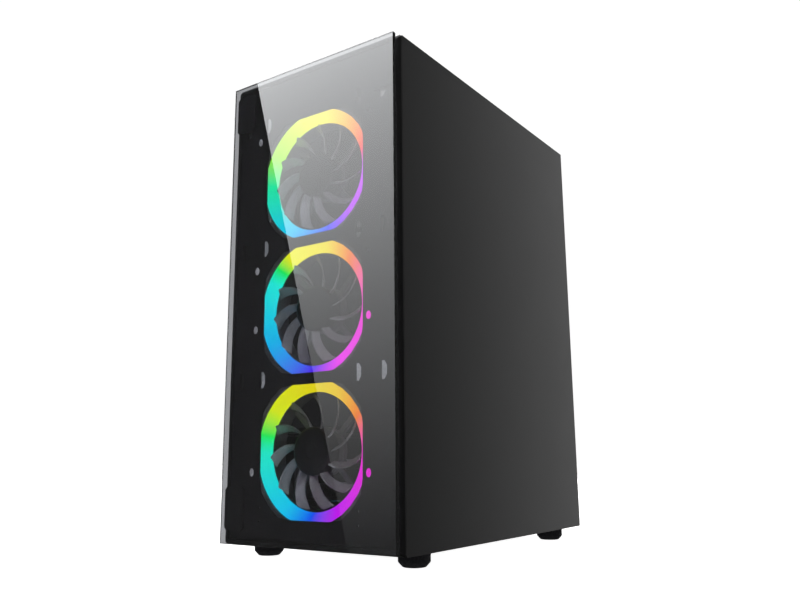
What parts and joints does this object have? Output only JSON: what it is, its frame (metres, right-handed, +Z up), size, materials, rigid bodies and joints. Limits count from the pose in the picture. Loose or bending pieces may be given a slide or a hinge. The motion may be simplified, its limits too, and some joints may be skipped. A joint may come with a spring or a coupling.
{
  "type": "desktop computer tower",
  "caption": "Slim black tower with a smoked glass front over lit fans, a hinged glass side door, a steel side cover, and its board, cards, drives and power supply inside.",
  "frame": {"origin": "middle of the bottom of the bounding box, on the surface the tower stands on", "axes": "+X to the tower's right seen from its front, +Y from the glass front to the rear wall, +Z up"},
  "size_m": [0.19, 0.35, 0.4405],
  "materials": {
    "painted_steel": "satin black powder coat",
    "tinted_glass": "smoked tempered glass",
    "black_plastic": "fine-grained black moulding",
    "button_plastic": "satin black",
    "rubber": "matt black",
    "frosted_plastic": "frosted grey",
    "light_ring": "frosted diffuser lit in rainbow colours",
    "blade_plastic": "smoky translucent grey",
    "zinc_steel": "bright zinc",
    "aluminium": "satin",
    "circuit_board": "black solder mask",
    "filter_mesh": "fine black mesh",
    "rocker_plastic": "black rocker"
  },
  "bodies": {
    "chassis": {"foot_front_left": "rubber", "foot_front_right": "rubber", "foot_rear_left": "rubber", "foot_rear_right": "rubber", "chassis_base": "painted_steel", "chassis_front": "painted_steel", "chassis_top": "painted_steel", "chassis_rear": "painted_steel", "motherboard_tray": "painted_steel", "psu_shroud": "painted_steel", "psu_case": "painted_steel", "hinge_post": "painted_steel", "drive_cage": "zinc_steel", "io_shield": "zinc_steel", "hard_drive": "aluminium", "heatsink": "aluminium", "memory_stick_near": "aluminium", "memory_stick_far": "aluminium", "solid_state_drive": "black_plastic", "rear_fan_frame": "black_plastic", "cooler_fan_frame": "black_plastic", "graphics_shroud": "black_plastic", "psu_inlet": "black_plastic", "io_cover": "black_plastic", "fan_frame_lower": "frosted_plastic", "fan_frame_middle": "frosted_plastic", "fan_frame_upper": "frosted_plastic", "light_ring_lower": "light_ring", "light_ring_middle": "light_ring", "light_ring_upper": "light_ring", "motherboard": "circuit_board", "graphics_board": "circuit_board", "io_board": "circuit_board"},
    "front_panel": {"front_bezel": "black_plastic", "front_glass": "tinted_glass", "glass_pad_lower_left": "rubber", "glass_pad_lower_right": "rubber", "glass_pad_upper_left": "rubber", "glass_pad_upper_right": "rubber"},
    "glass_door": {"left_glass_door": "tinted_glass", "door_edge_trim": "black_plastic", "door_magnet": "black_plastic", "door_hinge_strip": "painted_steel"},
    "side_panel": {"right_side_panel": "painted_steel", "thumbscrew_lower": "button_plastic", "thumbscrew_upper": "button_plastic"},
    "top_dust_filter": {"top_filter": "filter_mesh"},
    "psu_dust_filter": {"psu_filter": "filter_mesh"},
    "lower_fan": {"fan_rotor_lower": "blade_plastic"},
    "middle_fan": {"fan_rotor_middle": "blade_plastic"},
    "upper_fan": {"fan_rotor_upper": "blade_plastic"},
    "rear_fan": {"rear_fan_rotor": "black_plastic"},
    "cooler_fan": {"cooler_fan_rotor": "blade_plastic"},
    "psu_fan": {"psu_fan_rotor": "black_plastic"},
    "graphics_fan_front": {"graphics_rotor_front": "black_plastic"},
    "graphics_fan_rear": {"graphics_rotor_rear": "black_plastic"},
    "power_key": {"power_button": "button_plastic"},
    "reset_key": {"reset_button": "button_plastic"},
    "light_key": {"light_button": "button_plastic"},
    "psu_rocker": {"psu_switch": "rocker_plastic"}
  },
  "joints": [
    {"name": "lower_fan_spin", "type": "hinge", "parent": "chassis", "child": "lower_fan", "pos_m": [0.0015, -0.15735, 0.0906], "axis": [0, -1, 0], "continuous": true},
    {"name": "middle_fan_spin", "type": "hinge", "parent": "chassis", "child": "middle_fan", "pos_m": [0.0015, -0.15735, 0.212], "axis": [0, -1, 0], "continuous": true},
    {"name": "upper_fan_spin", "type": "hinge", "parent": "chassis", "child": "upper_fan", "pos_m": [0.0015, -0.15735, 0.3334], "axis": [0, -1, 0], "continuous": true},
    {"name": "rear_fan_spin", "type": "hinge", "parent": "chassis", "child": "rear_fan", "pos_m": [-0.0292, 0.1554, 0.35], "axis": [0, -1, 0], "continuous": true},
    {"name": "cooler_fan_spin", "type": "hinge", "parent": "chassis", "child": "cooler_fan", "pos_m": [-0.017, 0.0552, 0.345], "axis": [0, -1, 0], "continuous": true},
    {"name": "psu_fan_spin", "type": "hinge", "parent": "chassis", "child": "psu_fan", "pos_m": [0.001, 0.0974, 0.03], "axis": [0, 0, -1], "continuous": true},
    {"name": "graphics_fan_front_spin", "type": "hinge", "parent": "chassis", "child": "graphics_fan_front", "pos_m": [0.01285, 0.0007, 0.2016], "axis": [0, 0, -1], "continuous": true},
    {"name": "graphics_fan_rear_spin", "type": "hinge", "parent": "chassis", "child": "graphics_fan_rear", "pos_m": [0.01285, 0.1027, 0.2016], "axis": [0, 0, -1], "continuous": true},
    {"name": "glass_door_hinge", "type": "hinge", "parent": "chassis", "child": "glass_door", "pos_m": [-0.0928, 0.1647, 0.2257], "axis": [0, 0, -1], "range_deg": [0, 100]},
    {"name": "side_panel_slide", "type": "slide", "parent": "chassis", "child": "side_panel", "axis": [0, 1, 0], "range_m": [0, 0.016]},
    {"name": "front_panel_pull", "type": "slide", "parent": "chassis", "child": "front_panel", "axis": [0, -1, 0], "range_m": [0, 0.06]},
    {"name": "top_filter_lift", "type": "slide", "parent": "chassis", "child": "top_dust_filter", "axis": [0, 0, 1], "range_m": [0, 0.05]},
    {"name": "psu_filter_slide", "type": "slide", "parent": "chassis", "child": "psu_dust_filter", "axis": [0, 1, 0], "range_m": [0, 0.15]},
    {"name": "power_button_press", "type": "slide", "parent": "chassis", "child": "power_key", "axis": [0, 0, -1], "range_m": [0, 0.0013], "stiffness_N_per_m": 350, "springref_m": -0.002},
    {"name": "reset_button_press", "type": "slide", "parent": "chassis", "child": "reset_key", "axis": [0, 0, -1], "range_m": [0, 0.001], "stiffness_N_per_m": 250, "springref_m": -0.0015},
    {"name": "light_button_press", "type": "slide", "parent": "chassis", "child": "light_key", "axis": [0, 0, -1], "range_m": [0, 0.001], "stiffness_N_per_m": 250, "springref_m": -0.0015},
    {"name": "psu_switch_rock", "type": "hinge", "parent": "chassis", "child": "psu_rocker", "pos_m": [-0.004, 0.1654, 0.071], "axis": [1, 0, 0], "range_deg": [0, 14]}
  ]
}
